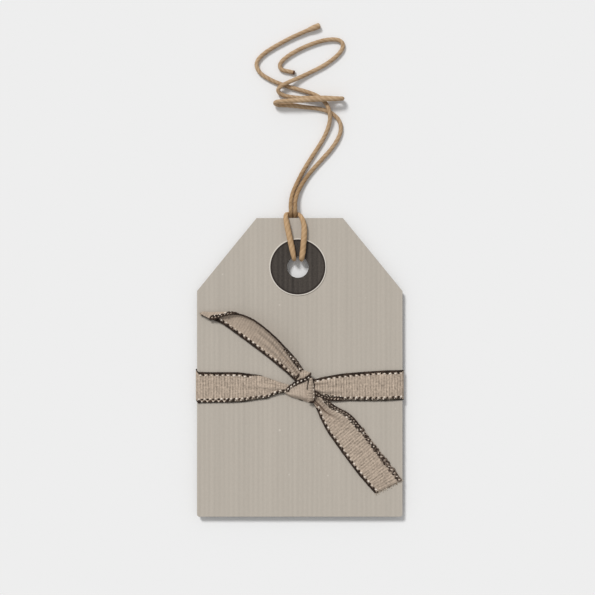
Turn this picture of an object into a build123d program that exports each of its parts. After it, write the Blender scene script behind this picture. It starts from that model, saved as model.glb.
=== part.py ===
from build123d import *
from math import cos, radians, sin, sqrt, tan
import os

# Gift tag lying face up: a chamfered card with a patched eyelet, a ribbon tied round it
# and a twine hitched through the eyelet. Lengths in millimetres, angles in degrees.
# X runs across the card, Y towards the eyelet end, Z up from the table.

# Card
card_width = 65.0
card_height = 94.5
card_thickness = 0.8
top_edge_width = 27.3
shoulder_drop = 23.1
corner_radius = 0.8

# Eyelet and its two reinforcing patches
hole_diameter = 6.8
hole_drop = 15.5
hole_offset = -0.6
patch_diameter = 17.4
patch_thickness = 0.25

# Ribbon, and the slack of its band behind the card
ribbon_width = 10.0
ribbon_thickness = 0.45
ribbon_drop = 53.4
band_slope_run = 14.0

# Free tails of the ribbon: length, compass heading and thickness where they leave the knot
upper_tail_length = 35.7
upper_tail_heading = 148.0
lower_tail_length = 35.0
lower_tail_heading = -50.0
gathered_thickness = 0.8
upper_root_height = 0.9
lower_root_height = 0.7

# Twine, drawn with flat sides, and its hitch
twine_diameter = 1.3
twine_sides = 6
strand_spread = 2.4
hitch_offset = -2.15
bight_slack = 0.45
left_leg_bow = 0.3
right_leg_bow = 0.9
hole_bend_radius = 0.85
edge_bend_radius = 2.0
bight_bend_radius = 1.2
swing_reach = 2.4
swing_fall = 0.17

# Clearances
seat_gap = 0.08
root_gap = 0.1

# Heights above the table, from the twine under the card upwards
twine_radius = twine_diameter / 2
card_bottom = twine_diameter + seat_gap + patch_thickness
card_top = card_bottom + card_thickness
card_middle = card_bottom + card_thickness / 2
front_strand_height = card_top + patch_thickness + seat_gap + twine_radius
ribbon_base = card_top + seat_gap

# The twine climbs at 45 degrees between the card's top edge and the bight that it crosses
climb_room = twine_radius + seat_gap
crossing_room = twine_diameter + 2 * seat_gap
climb_start = twine_radius - card_bottom + sqrt(2) * climb_room
bight_reach = climb_start + sqrt(2) * crossing_room
climb_height = twine_radius + bight_reach - climb_start
hitch_reach = bight_reach + swing_reach - twine_radius - root_gap

# The origin lies under the middle of the card, ribbon and hitch together
top_edge_y = (card_height - hitch_reach) / 2
bottom_edge_y = top_edge_y - card_height
hole_x = hole_offset
hole_y = top_edge_y - hole_drop
ribbon_y = top_edge_y - ribbon_drop
half_width = card_width / 2

# Half rings of the ribbon round the card's two side edges
wrap_inner_radius = card_thickness / 2 + seat_gap
wrap_outer_radius = wrap_inner_radius + ribbon_thickness
wrap_x = half_width

# Front runs from the card's edge (1) to the knot (0): where the lower and the upper edge of the
# ribbon lie along the run and across it, and how high the gathered cloth crowns
left_run_shares = [
    (1.00, -0.52, 1.00, 0.47, 1.05),
    (0.76, -0.51, 0.76, 0.46, 1.15),
    (0.54, -0.47, 0.54, 0.415, 1.5),
    (0.40, -0.41, 0.40, 0.345, 2.0),
    (0.27, -0.33, 0.28, 0.25, 2.6),
    (0.13, -0.215, 0.16, 0.15, 3.1),
    (0.00, -0.14, 0.045, 0.075, 3.3),
]
right_run_shares = [
    (1.00, -0.47, 1.00, 0.52, 1.05),
    (0.74, -0.465, 0.74, 0.495, 1.1),
    (0.48, -0.45, 0.48, 0.435, 1.4),
    (0.27, -0.41, 0.27, 0.36, 2.0),
    (0.10, -0.325, 0.10, 0.29, 2.7),
    (0.00, -0.235, 0.00, 0.235, 3.2),
]
left_start_share = 0.475
right_start_share = 0.5

# The knot, in ribbon widths from its middle: lower and upper edge of each cut, then its crown
knot_shares = [
    (-0.364, -0.275, -0.425, -0.165, 0.13),
    (-0.120, -0.348, -0.240, -0.015, 0.25),
    (0.090, -0.411, -0.020, 0.120, 0.33),
    (0.278, -0.475, 0.170, 0.235, 0.37),
    (0.390, -0.480, 0.315, 0.355, 0.33),
    (0.455, -0.330, 0.400, 0.235, 0.18),
]
lip_shares = [
    (-0.150, 0.105, -0.155, 0.180, 0.10),
    (-0.020, 0.185, -0.050, 0.310, 0.20),
    (0.140, 0.295, 0.080, 0.455, 0.24),
    (0.290, 0.410, 0.250, 0.480, 0.14),
]

# Free tails: share of the length along the heading, lower edge across it and cloth width in ribbon
# widths, slope of the cloth at its lower and upper edge, height and thickness of the lower edge,
# and how far the cut is turned from square
upper_tail_shares = [
    (0.000, -0.205, 0.41, 0, 0, 0.000, 1.0, -11),
    (0.090, -0.150, 0.53, 4, 42, -0.025, 0.85, -6),
    (0.195, -0.100, 0.72, 6, 66, -0.045, 0.7, -2),
    (0.325, -0.045, 0.90, 8, 75, -0.055, 0.56, 0),
    (0.460, -0.005, 1.00, 8, 76, -0.055, 0.56, 0),
    (0.585, 0.045, 1.00, 8, 78, -0.055, 0.56, 0),
    (0.710, 0.075, 1.00, 10, 96, -0.055, 0.56, 0),
    (0.825, 0.090, 0.90, 6, 128, -0.050, 0.56, 2),
    (0.930, 0.020, 0.70, 3, 165, -0.040, 0.56, 6),
    (1.000, -0.050, 0.52, 8, 178, -0.030, 0.56, 10),
]
lower_tail_shares = [
    (0.000, -0.125, 0.25, 0, 0, 0.000, 1.0, 8),
    (0.055, -0.175, 0.42, 10, -8, -0.015, 0.85, 6),
    (0.120, -0.225, 0.60, 14, -10, -0.030, 0.7, 4),
    (0.205, -0.285, 0.81, 16, -12, -0.030, 0.6, 2),
    (0.300, -0.325, 0.93, 14, -12, -0.032, 0.56, 0),
    (0.480, -0.385, 0.96, 12, -12, -0.032, 0.56, 0),
    (0.700, -0.435, 0.98, 10, -12, -0.032, 0.56, 0),
    (0.860, -0.450, 0.98, 9, -10, -0.032, 0.56, -6),
    (0.965, -0.445, 0.97, 8, -9, -0.032, 0.56, -13),
]
upper_root_shares = (-0.095, 0.433)
lower_root_shares = (0.567, -0.484)

# Blended cuts from each row of a table to the next, and flat strips across a curled tail
blend_steps = 2
curl_strips = 6

# Free twine tails: X, distance past the card's top edge, height
left_tail_route = [
    (-2.76, 6.64, 1.45), (-1.14, 10.75, 0.70), (1.66, 16.13, 0.67), (5.30, 21.67, 0.67),
    (8.14, 26.25, 0.67), (9.63, 30.52, 1.30), (9.57, 33.05, 2.25), (9.03, 35.01, 2.20),
    (7.99, 36.85, 0.80), (5.93, 38.81, 0.67), (1.66, 40.36, 0.67), (-3.40, 41.63, 0.67),
    (-8.94, 43.65, 0.67), (-12.89, 46.09, 0.67), (-14.09, 49.19, 0.67), (-11.78, 52.13, 0.67),
    (-6.56, 55.35, 0.67), (-0.24, 58.42, 0.67), (6.50, 60.70, 0.67),
]
right_tail_route = [
    (-1.34, 6.48, 1.75), (0.12, 9.96, 0.95), (3.08, 14.39, 0.67), (7.35, 18.98, 0.67),
    (10.99, 23.09, 0.67), (13.20, 27.36, 0.67), (12.83, 30.90, 0.67), (10.20, 33.53, 0.67),
    (6.25, 34.82, 0.67), (1.34, 35.30, 0.67), (-3.08, 35.96, 0.67), (-6.09, 35.93, 0.67),
    (-8.40, 36.18, 0.67), (-8.40, 36.69, 3.27), (-6.25, 36.82, 3.27), (-2.77, 37.01, 3.30),
    (1.98, 37.23, 3.35), (6.72, 37.42, 3.50), (10.83, 37.58, 3.45), (14.12, 37.70, 3.35),
    (14.12, 37.89, 0.85), (11.78, 38.02, 0.90), (9.25, 38.08, 2.20), (5.14, 38.11, 2.25),
    (1.98, 38.14, 1.10), (-0.87, 38.21, 0.68), (-3.56, 38.59, 0.68), (-6.12, 39.44, 1.00),
    (-7.01, 40.93, 2.10), (-4.57, 42.51, 2.30), (-0.87, 44.22, 1.30), (3.24, 46.21, 0.67),
    (7.67, 48.39, 0.67), (11.53, 51.15, 0.67), (14.06, 54.18, 0.67), (13.11, 56.65, 0.67),
    (8.94, 56.84, 0.67), (3.87, 55.42, 0.67), (-0.87, 53.30, 0.67), (-4.67, 50.93, 0.67),
    (-6.50, 48.78, 0.67), (-5.93, 47.04, 0.67), (-3.72, 46.66, 0.67), (-1.60, 46.18, 0.67),
]
run_share = 0.45


def save(shape, node):
    """Write one node's solid or group of solids."""
    export_step(shape, f"parts/{node}.step")


def card():
    """Chamfered tag blank with its eyelet punched through."""
    half_top = top_edge_width / 2
    shoulder_y = top_edge_y - shoulder_drop
    outline = Polyline(
        (-half_width, bottom_edge_y), (half_width, bottom_edge_y), (half_width, shoulder_y),
        (half_top, top_edge_y), (-half_top, top_edge_y), (-half_width, shoulder_y), close=True)
    blank = make_face(outline)
    blank = fillet(blank.vertices().group_by(Axis.Y)[0], corner_radius)
    blank -= Pos(hole_x, hole_y) * Circle(hole_diameter / 2)
    return Pos(0, 0, card_bottom) * extrude(blank, card_thickness)


def patch(base):
    """Paper ring glued round the eyelet, with its lower face at the given height."""
    ring = Circle(patch_diameter / 2) - Circle(hole_diameter / 2)
    return Pos(hole_x, hole_y, base) * extrude(ring, patch_thickness)


def band_profile():
    """Side outline of the ribbon behind the card: both wraps and the slack stretch on the table."""
    flat_x = wrap_x - band_slope_run
    outer_top = card_middle + wrap_outer_radius
    outer_low = card_middle - wrap_outer_radius
    inner_top = card_middle + wrap_inner_radius
    inner_low = card_middle - wrap_inner_radius
    far_outer = wrap_x + wrap_outer_radius
    far_inner = wrap_x + wrap_inner_radius
    edges = [
        ThreePointArc((wrap_x, outer_top), (far_outer, card_middle), (wrap_x, outer_low)),
        Polyline((wrap_x, outer_low), (flat_x, 0), (-flat_x, 0), (-wrap_x, outer_low)),
        ThreePointArc((-wrap_x, outer_low), (-far_outer, card_middle), (-wrap_x, outer_top)),
        Line((-wrap_x, outer_top), (-wrap_x, inner_top)),
        ThreePointArc((-wrap_x, inner_top), (-far_inner, card_middle), (-wrap_x, inner_low)),
        Polyline((-wrap_x, inner_low), (-flat_x, ribbon_thickness), (flat_x, ribbon_thickness),
                 (wrap_x, inner_low)),
        ThreePointArc((wrap_x, inner_low), (far_inner, card_middle), (wrap_x, inner_top)),
        Line((wrap_x, inner_top), (wrap_x, outer_top)),
    ]
    return make_face(edges)


def band():
    """The ribbon behind the card, with the half rings that bring it round to the front."""
    far_edge = ribbon_y + ribbon_width / 2
    upright = Plane(origin=(0, far_edge, 0), x_dir=(1, 0, 0), z_dir=(0, -1, 0))
    return extrude(upright * band_profile(), ribbon_width)


def blended(before, here, after, beyond, share):
    """A value between two rows of a table that follows the rows on both sides of them."""
    slope_in = (after - before) / 2
    slope_out = (beyond - here) / 2
    rest = 1 - share
    start = here * (1 + 2 * share) * rest**2 + slope_in * share * rest**2
    return start + after * (3 - 2 * share) * share**2 - slope_out * rest * share**2


def smooth_rows(table):
    """The rows of a table with blended rows between them."""
    last = len(table) - 1
    rows = []
    for index in range(last):
        near = table[max(index - 1, 0)], table[index], table[index + 1], table[min(index + 2, last)]
        for step in range(blend_steps):
            rows.append([blended(*values, step / blend_steps) for values in zip(*near)])
    return rows + [table[last]]


def crowned_cut(low, high, crown):
    """Cut through gathered cloth: flat below, thin at the sides, crowned in the middle."""
    base = Vector(0, 0, ribbon_base)
    side = Vector(0, 0, ribbon_base + ribbon_thickness)
    top = (low + high) / 2 + Vector(0, 0, ribbon_base + crown)
    return Wire([
        Edge.make_line(low + base, high + base), Edge.make_line(high + base, high + side),
        Edge.make_three_point_arc(high + side, top, low + side),
        Edge.make_line(low + side, low + base)])


def run(side, start, table):
    """One front run of the ribbon, from the card's edge to the knot."""
    cuts = []
    for low_along, low_across, high_along, high_across, crown in smooth_rows(table):
        low_x = side * (start + (wrap_x - start) * low_along)
        high_x = side * (start + (wrap_x - start) * high_along)
        low = Vector(low_x, ribbon_y + ribbon_width * low_across)
        high = Vector(high_x, ribbon_y + ribbon_width * high_across)
        cuts.append(crowned_cut(low, high, ribbon_thickness * crown))
    return Solid.make_loft(cuts, True)


def knot_piece(table):
    """A turn of the knot, lofted through its crowned cuts."""
    cuts = []
    for low_x, low_y, high_x, high_y, crown in smooth_rows(table):
        low = Vector(ribbon_width * low_x, ribbon_y + ribbon_width * low_y)
        high = Vector(ribbon_width * high_x, ribbon_y + ribbon_width * high_y)
        cuts.append(crowned_cut(low, high, ribbon_width * crown))
    return Solid.make_loft(cuts, True)


def curled_cut(corner, across, low_slope, high_slope, width, thickness):
    """Cut through a curled ribbon: it leaves its lower corner at one slope and ends at another."""
    up = Vector(0, 0, 1)
    bend = radians(high_slope - low_slope)

    def point(share, lift):
        angle = radians(low_slope) + bend * share
        if bend == 0:
            middle = across * (width * share * cos(angle)) + up * (width * share * sin(angle))
        else:
            radius = width / bend
            first = radians(low_slope)
            middle = across * (radius * (sin(angle) - sin(first)))
            middle += up * (radius * (cos(first) - cos(angle)))
        normal = up * cos(angle) - across * sin(angle)
        return corner + middle + normal * (lift * thickness / 2)

    shares = [strip / curl_strips for strip in range(curl_strips + 1)]
    under = [point(share, -1) for share in shares]
    over = [point(share, 1) for share in reversed(shares)]
    return Wire.make_polygon(under + over)


def tail(root, heading, quarter_turn, length, table):
    """A free tail of the ribbon, lofted from the rounded root that it swings on."""
    forward = Vector(1, 0, 0).rotate(Axis.Z, heading)
    sideways = Vector(1, 0, 0).rotate(Axis.Z, heading + quarter_turn)
    cuts = []
    for along, across, width, low_slope, high_slope, rise, thickness, turn in smooth_rows(table):
        cut_across = sideways.rotate(Axis.Z, turn)
        corner = root + forward * (length * along) + sideways * (ribbon_width * across)
        corner += Vector(0, 0, ribbon_width * rise)
        cuts.append(curled_cut(corner, cut_across, low_slope, high_slope, ribbon_width * width,
                               gathered_thickness * thickness))
    first = table[0]
    hinge_line = sideways.rotate(Axis.Z, first[-1])
    start = root + sideways * (ribbon_width * first[1])
    disc = Plane(origin=start, x_dir=forward, z_dir=hinge_line) * Circle(gathered_thickness / 2)
    return Solid.make_loft(cuts, True) + extrude(disc, ribbon_width * first[2])


def root_point(shares, height):
    """Where a tail of the ribbon leaves the knot."""
    across, along = shares
    return Vector(ribbon_width * across, ribbon_y + ribbon_width * along, ribbon_base + height)


def bend_radii(points):
    """Each corner's arc: as large as its shorter run allows."""
    radii = []
    for before, here, after in zip(points, points[1:], points[2:]):
        turn = (here - before).get_angle(after - here)
        shorter = min((here - before).length, (after - here).length)
        radii.append(run_share * shorter / tan(radians(turn / 2)))
    return radii


def tube(points, radii, name):
    """Twine along straight runs joined by tangent arcs."""
    path = FilletPolyline(*points, radius=radii)
    section = Plane(origin=points[0], z_dir=points[1] - points[0])
    section *= RegularPolygon(twine_radius, twine_sides)
    body = sweep(section, path=path)
    print(name, "length", round(path.length, 2), "least radius", round(min(radii), 2),
          "volume ratio", round(body.volume / (section.area * path.length), 4))
    return body


def past_edge(x, reach, height):
    """A point given by its distance past the card's top edge."""
    return Vector(x, top_edge_y + reach, height)


tail_pitch = twine_diameter + seat_gap
leg_room = twine_diameter + 2 * seat_gap
left_tail_x = hitch_offset - tail_pitch / 2
right_tail_x = hitch_offset + tail_pitch / 2
swing_height = climb_height - swing_fall


def swing_point(x):
    """Where a free twine tail starts, on the line that both tails swing about."""
    return past_edge(x, bight_reach + swing_reach, swing_height)


def hitch_half(side, tail_x, leg_x, bow):
    """Points and bend radii of one side of the hitch, from its tail to the bight."""
    hole_strand_x = hole_x + side * strand_spread / 2
    clear_radius = hole_diameter / 2 - twine_radius - seat_gap
    hole_strand_y = hole_y + sqrt(clear_radius**2 - (strand_spread / 2)**2)
    crest = past_edge(tail_x, bight_reach, climb_height)
    end = swing_point(tail_x)
    stub = end + (crest - end).normalized() * (twine_radius + root_gap)
    bight_y = top_edge_y + bight_reach
    bow_y = (hole_strand_y + bight_y) / 2
    bow_x = (hole_strand_x + leg_x) / 2 + side * bow
    points = [
        stub, crest, past_edge(tail_x, climb_start, twine_radius),
        Vector(hole_strand_x, hole_strand_y, twine_radius),
        Vector(hole_strand_x, hole_strand_y, front_strand_height),
        Vector(bow_x, bow_y, front_strand_height),
        Vector(leg_x, bight_y, front_strand_height), Vector(leg_x, bight_y, twine_radius),
    ]
    crest_turn = (crest - stub).get_angle(points[2] - crest)
    crest_radius = run_share * (crest - stub).length / tan(radians(crest_turn / 2))
    bow_turn = (points[5] - points[4]).get_angle(points[6] - points[5])
    bow_radius = run_share * (points[6] - points[5]).length / tan(radians(bow_turn / 2))
    radii = [crest_radius, edge_bend_radius, hole_bend_radius, hole_bend_radius, bow_radius,
             bight_bend_radius, bight_bend_radius]
    return points, radii


def hitch():
    """The twine's lark's head: two strands through the eyelet, and the bight behind the tails."""
    left_leg_x = left_tail_x - leg_room
    right_leg_x = right_tail_x + leg_room + bight_slack
    left_points, left_radii = hitch_half(-1, left_tail_x, left_leg_x, left_leg_bow)
    right_points, right_radii = hitch_half(1, right_tail_x, right_leg_x, right_leg_bow)
    points = left_points + right_points[::-1]
    radii = left_radii + right_radii[::-1]
    return tube(points, radii, "hitch")


def twine_tail(x, route, name):
    """A free tail of the twine, with a round end on the line that it swings about."""
    points = [swing_point(x)] + [past_edge(*place) for place in route]
    body = tube(points, bend_radii(points), name)
    start = Plane(origin=points[0], z_dir=points[1] - points[0])
    return body + start * Sphere(twine_radius, arc_size1=-90, arc_size2=0)


os.makedirs("parts", exist_ok=True)
save(card(), "tag_card")
save(patch(card_top), "front_patch")
save(patch(card_bottom - patch_thickness), "back_patch")

save(band(), "ribbon_back_band")
save(run(-1, ribbon_width * left_start_share, left_run_shares), "ribbon_left_run")
save(run(1, ribbon_width * right_start_share, right_run_shares), "ribbon_right_run")
save(knot_piece(knot_shares), "ribbon_knot")
save(knot_piece(lip_shares), "knot_lip")

upper_root = root_point(upper_root_shares, upper_root_height)
lower_root = root_point(lower_root_shares, lower_root_height)
save(tail(upper_root, upper_tail_heading, -90, upper_tail_length, upper_tail_shares), "ribbon_upper_tail")
save(tail(lower_root, lower_tail_heading, 90, lower_tail_length, lower_tail_shares), "ribbon_lower_tail")

save(hitch(), "twine_hitch")
save(twine_tail(left_tail_x, left_tail_route, "left tail"), "twine_left_tail")
save(twine_tail(right_tail_x, right_tail_route, "right tail"), "twine_right_tail")
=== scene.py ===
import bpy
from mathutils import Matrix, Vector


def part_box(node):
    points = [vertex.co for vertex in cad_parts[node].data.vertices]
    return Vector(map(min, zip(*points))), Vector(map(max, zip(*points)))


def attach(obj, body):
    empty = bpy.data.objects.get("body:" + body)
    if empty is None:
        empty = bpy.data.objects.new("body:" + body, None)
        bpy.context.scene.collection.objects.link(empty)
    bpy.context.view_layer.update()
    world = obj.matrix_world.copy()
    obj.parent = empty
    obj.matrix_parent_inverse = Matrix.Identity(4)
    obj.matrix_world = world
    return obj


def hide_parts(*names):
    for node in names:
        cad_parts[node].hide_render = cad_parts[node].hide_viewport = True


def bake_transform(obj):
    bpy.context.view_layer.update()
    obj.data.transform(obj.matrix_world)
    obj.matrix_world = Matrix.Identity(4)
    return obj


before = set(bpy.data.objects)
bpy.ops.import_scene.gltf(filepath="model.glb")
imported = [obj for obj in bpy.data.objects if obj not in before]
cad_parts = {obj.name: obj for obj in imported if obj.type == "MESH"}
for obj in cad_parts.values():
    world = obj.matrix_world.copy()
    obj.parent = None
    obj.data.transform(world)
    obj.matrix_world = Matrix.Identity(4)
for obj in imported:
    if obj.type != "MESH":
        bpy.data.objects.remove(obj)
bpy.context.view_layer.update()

from math import cos, exp, pi, radians, sin

import bmesh
import bpy
from mathutils import Vector, noise

scene = bpy.context.scene
mm = 0.001

# Places taken from the solids: the card, its eyelet and the ribbon round it
card_low, card_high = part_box("tag_card")
patch_low, patch_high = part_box("front_patch")
back_patch_low, back_patch_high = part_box("back_patch")
band_low, band_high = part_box("ribbon_back_band")
half_width = card_high.x
top_edge_y = card_high.y
card_top = card_high.z
card_middle = (card_high.z + card_low.z) / 2
hole_x = (patch_low.x + patch_high.x) / 2
hole_y = (patch_low.y + patch_high.y) / 2
ribbon_y = (band_low.y + band_high.y) / 2

# Sizes of the card and its patches
half_top_width = 13.65 * mm
shoulder_drop = 23.1 * mm
corner_radius = 0.8 * mm
hole_radius = 3.4 * mm
patch_radius = (patch_high.x - patch_low.x) / 2
cut_edge = 0.07 * mm
laid_pitch = 1.55 * mm
rim_width = 0.36 * mm

# Sizes of the ribbon and of its weave
ribbon_width = 10 * mm
cloth_thickness = 0.3 * mm
cloth_lift = 0.25 * mm
cloth_base = card_top + cloth_lift
rib_pitch = 0.85 * mm
warp_pitch = 0.47 * mm
stitch_pitch = 1.77 * mm
columns = 28
blend_steps = 5

# The ribbon's way round the card's edges and behind the card
run_end = 31.8 * mm
turn_reach = 0.95 * mm
turn_skew = 1.0 * mm
turn_steps = 16
band_behind = 0.45 * mm
band_slope = 14 * mm
band_steps = 48

# Sizes of the twine, its plies and its uneven thickness, and the hitch's length in diameters
twine_radius = 0.65 * mm
hitch_radius = 0.67 * mm
hitch_span = 58
twine_sides = 18
plies = 3
ply_depth = 0.02
ply_length = 5.2 * mm
uneven_depth = 0.05
uneven_length = 1.4 * mm
# How far back from a cut end the twine is painted dark: painted shade at the cut
cut_shade_reach = 0.7 * mm
end_crown = 0.04 * mm


# Node trees

class Graph:
    """Adds nodes to a tree and links their inputs."""

    def __init__(self, tree):
        self.tree = tree

    def fill(self, socket, value):
        """Links a socket to an output, or gives it a plain value."""
        if isinstance(value, bpy.types.NodeSocket):
            self.tree.links.new(value, socket)
        else:
            socket.default_value = value

    def add(self, kind, values=None, **settings):
        node = self.tree.nodes.new(kind)
        for name, value in settings.items():
            setattr(node, name, value)
        for name, value in (values or {}).items():
            self.fill(node.inputs[name], value)
        return node

    def result(self, kind, values=None, **settings):
        """The first output of a new node."""
        return self.add(kind, values, **settings).outputs[0]

    def place(self, kind):
        """Where a point of the surface is, in Object or UV coordinates."""
        return self.add("ShaderNodeTexCoord").outputs[kind]

    def parts(self, vector):
        return self.add("ShaderNodeSeparateXYZ", {0: vector}).outputs

    def vector(self, x=0.0, y=0.0, z=0.0):
        return self.result("ShaderNodeCombineXYZ", {0: x, 1: y, 2: z})

    def math(self, operation, *values):
        return self.result("ShaderNodeMath", dict(enumerate(values)), operation=operation)

    def weighted(self, *terms):
        """The sum of some values, each times its weight."""
        total = 0.0
        for value, weight in terms:
            total = self.math("MULTIPLY_ADD", value, weight, total)
        return total

    def scaled(self, vector, amount):
        return self.result("ShaderNodeVectorMath", {0: vector, "Scale": amount}, operation="SCALE")

    def stretched(self, vector, scale):
        return self.result("ShaderNodeVectorMath", {0: vector, 1: scale}, operation="MULTIPLY")

    def noise(self, vector, scale, detail, roughness):
        """Noise with its own scale along each axis, in waves for each unit of the vector."""
        waves = self.stretched(vector, scale)
        values = {"Vector": waves, "Scale": 1.0, "Detail": detail, "Roughness": roughness}
        return self.add("ShaderNodeTexNoise", values).outputs["Fac"]

    def between(self, value, low, high):
        """A mask that goes smoothly from 0 where the value is low to 1 where it is high."""
        values = {"Value": value, "From Min": low, "From Max": high}
        return self.result("ShaderNodeMapRange", values, interpolation_type="SMOOTHSTEP")

    def mix(self, share, first, second):
        """A colour between two others, from the node's sockets for colours."""
        return self.add("ShaderNodeMix", {0: share, 6: first, 7: second}, data_type="RGBA").outputs[2]

    def chance(self, low, high, seed):
        """A random number at each point, from the node's sockets for plain numbers."""
        values = {2: low, 3: high, "Seed": seed}
        return self.add("FunctionNodeRandomValue", values, data_type="FLOAT").outputs[1]


def srgb(red, green, blue):
    """A colour written as it shows on a screen, 0 to 255."""
    def linear(value):
        value /= 255
        return value / 12.92 if value <= 0.04045 else ((value + 0.055) / 1.055) ** 2.4
    return (linear(red), linear(green), linear(blue), 1.0)


grey = (0.5, 0.5, 0.5, 1)
black = (0, 0, 0, 1)


def surface_group(name, inputs):
    """An empty shader group that is to give a colour and a height: its graph and its named inputs."""
    tree = bpy.data.node_groups.new(name, "ShaderNodeTree")
    for socket, value in inputs.items():
        kind = "NodeSocketColor" if isinstance(value, tuple) else "NodeSocketFloat"
        tree.interface.new_socket(socket, in_out="INPUT", socket_type=kind).default_value = value
    for socket, kind in (("Color", "NodeSocketColor"), ("Height", "NodeSocketFloat")):
        tree.interface.new_socket(socket, in_out="OUTPUT", socket_type=kind)
    graph = Graph(tree)
    return graph, graph.add("NodeGroupInput").outputs


def finish_of(name, roughness, specular):
    """A material, the graph to add nodes with, and its shader."""
    material = bpy.data.materials.new(name)
    material.use_nodes = True
    shader = material.node_tree.nodes["Principled BSDF"]
    shader.inputs["Roughness"].default_value = roughness
    shader.inputs["Specular IOR Level"].default_value = specular
    return material, Graph(material.node_tree), shader


def dress(graph, shader, colour, height, depth, strength):
    """Gives a shader its colour, and its bump from a height that goes from 0 to 1."""
    graph.fill(shader.inputs["Base Color"], colour)
    bump = graph.result("ShaderNodeBump", {"Height": height, "Distance": depth, "Strength": strength})
    graph.fill(shader.inputs["Normal"], bump)


# Paper: long streaks of a laid sheet, fibres and pale flecks

def paper_group():
    graph, given = surface_group("laid_paper", {"Tone": grey, "Streak": 0.1, "Fleck": 0.3})
    middle_streak = 0.85
    fleck_scale, fleck_core, fleck_reach, fleck_chance = 330.0, 0.05, 0.16, 0.86
    place = graph.place("Object")
    fine = graph.noise(place, (1150, 24, 1150), 3, 0.6)
    broad = graph.noise(place, (260, 5, 260), 2, 0.5)
    fibre = graph.noise(place, (2600, 1500, 2600), 3, 0.6)
    laid = graph.math("SINE", graph.weighted((graph.parts(place)[0], 2 * pi / laid_pitch), (broad, 2.5)))
    streak = graph.weighted((fine, 0.55), (broad, 0.45), (fibre, 0.7), (laid, 0.1))
    change = graph.math("MULTIPLY", graph.math("SUBTRACT", streak, middle_streak), given["Streak"])
    toned = graph.scaled(given["Tone"], graph.math("ADD", change, 1.0))
    cells = graph.add("ShaderNodeTexVoronoi", {"Vector": place, "Scale": fleck_scale}).outputs
    near = graph.between(cells["Distance"], fleck_reach, fleck_core)
    chance = graph.result("ShaderNodeSeparateColor", {0: cells["Color"]})
    fleck = graph.math("MULTIPLY", near, graph.math("GREATER_THAN", chance, fleck_chance))
    fleck = graph.math("MULTIPLY", fleck, given["Fleck"])
    graph.add("NodeGroupOutput", {"Color": graph.mix(fleck, toned, srgb(228, 221, 210)), "Height": streak})
    return graph.tree


laid_paper = paper_group()


def card_finish():
    material, graph, shader = finish_of("card_stock", roughness=0.88, specular=0.25)
    values = {"Tone": srgb(181, 173, 162), "Streak": 0.22, "Fleck": 0.35}
    grain = graph.add("ShaderNodeGroup", values, node_tree=laid_paper).outputs
    dress(graph, shader, grain["Color"], grain["Height"], depth=0.05 * mm, strength=0.6)
    return material


def patch_finish():
    """Dark paper whose punched rim shows the pale core of the sheet."""
    material, graph, shader = finish_of("patch_paper", roughness=0.8, specular=0.25)
    values = {"Tone": srgb(68, 62, 57), "Streak": 1.5, "Fleck": 0.0}
    grain = graph.add("ShaderNodeGroup", values, node_tree=laid_paper).outputs
    place = graph.place("Object")
    centred = graph.result("ShaderNodeMapping", {"Vector": place, "Location": (-hole_x, -hole_y, 0)})
    flat = graph.stretched(centred, (1, 1, 0))
    reach = graph.add("ShaderNodeVectorMath", {0: flat}, operation="LENGTH").outputs["Value"]
    shade = graph.between(reach, patch_radius - 0.75 * mm, patch_radius - 0.3 * mm)
    core = graph.between(reach, patch_radius - 0.02 * mm, patch_radius + 0.06 * mm)
    dark = graph.mix(graph.math("MULTIPLY", shade, 0.75), grain["Color"], srgb(36, 27, 23))
    colour = graph.mix(core, dark, srgb(214, 207, 197))
    dress(graph, shader, colour, grain["Height"], depth=0.04 * mm, strength=0.6)
    return material


# Ribbon cloth: ribs across it, crossed by fine warp, with a dark woven edge

def weave_group():
    """The weave, on UV coordinates that count ribbon widths along the cloth and go from 0 to 1 across it."""
    graph, given = surface_group("ribbed_weave", {
        "Tone": grey, "Low edge": black, "High edge": black, "High reach": 0.035, "Relief": 1.0})
    rib_count = ribbon_width / rib_pitch
    warp_count = ribbon_width / warp_pitch
    stitch_count = ribbon_width / stitch_pitch
    middle_tone = 1.36
    low_reach, edge_fade, edge_wave = 0.03, 0.015, 0.008
    cloth_place = graph.place("UV")
    parts = graph.parts(cloth_place)
    along, across = parts[0], parts[1]
    rib = graph.math("SINE", graph.math("MULTIPLY", along, 2 * pi * rib_count))
    rib_index = graph.math("FLOOR", graph.math("MULTIPLY", along, rib_count))
    warp = graph.math("SINE", graph.weighted((across, 2 * pi * warp_count), (rib_index, pi)))
    slub = graph.noise(cloth_place, (rib_count * 1.2, 3.0, 1), 2, 0.6)
    knots = graph.noise(cloth_place, (rib_count * 1.5, warp_count * 0.7, 1), 2, 0.6)
    body = graph.noise(cloth_place, (2.2, 2.2, 1), 2, 0.5)
    height = graph.weighted((rib, 0.2), (warp, 0.12), (slub, 0.5), (knots, 0.35))
    tone = graph.weighted((rib, 0.17), (warp, 0.08), (slub, 1.05), (knots, 1.45), (body, 0.22))
    change = graph.math("MULTIPLY", graph.math("SUBTRACT", tone, middle_tone), given["Relief"])
    toned = graph.scaled(given["Tone"], graph.math("ADD", change, 1.0))
    turn = graph.math("MULTIPLY", along, 2 * pi * stitch_count)
    wave = graph.math("MULTIPLY", graph.math("SINE", turn), edge_wave)
    low = graph.between(graph.math("ADD", across, wave), low_reach + edge_fade, low_reach)
    from_high = graph.math("ADD", graph.math("SUBTRACT", 1.0, across), wave)
    high = graph.between(from_high, graph.math("ADD", given["High reach"], edge_fade), given["High reach"])
    edged = graph.mix(low, toned, given["Low edge"])
    graph.add("NodeGroupOutput", {
        "Color": graph.mix(high, edged, given["High edge"]),
        "Height": graph.math("MULTIPLY", height, given["Relief"])})
    return graph.tree


ribbed_weave = weave_group()
weave_tone = srgb(172, 156, 140)
edge_tone = srgb(40, 29, 23)


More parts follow.
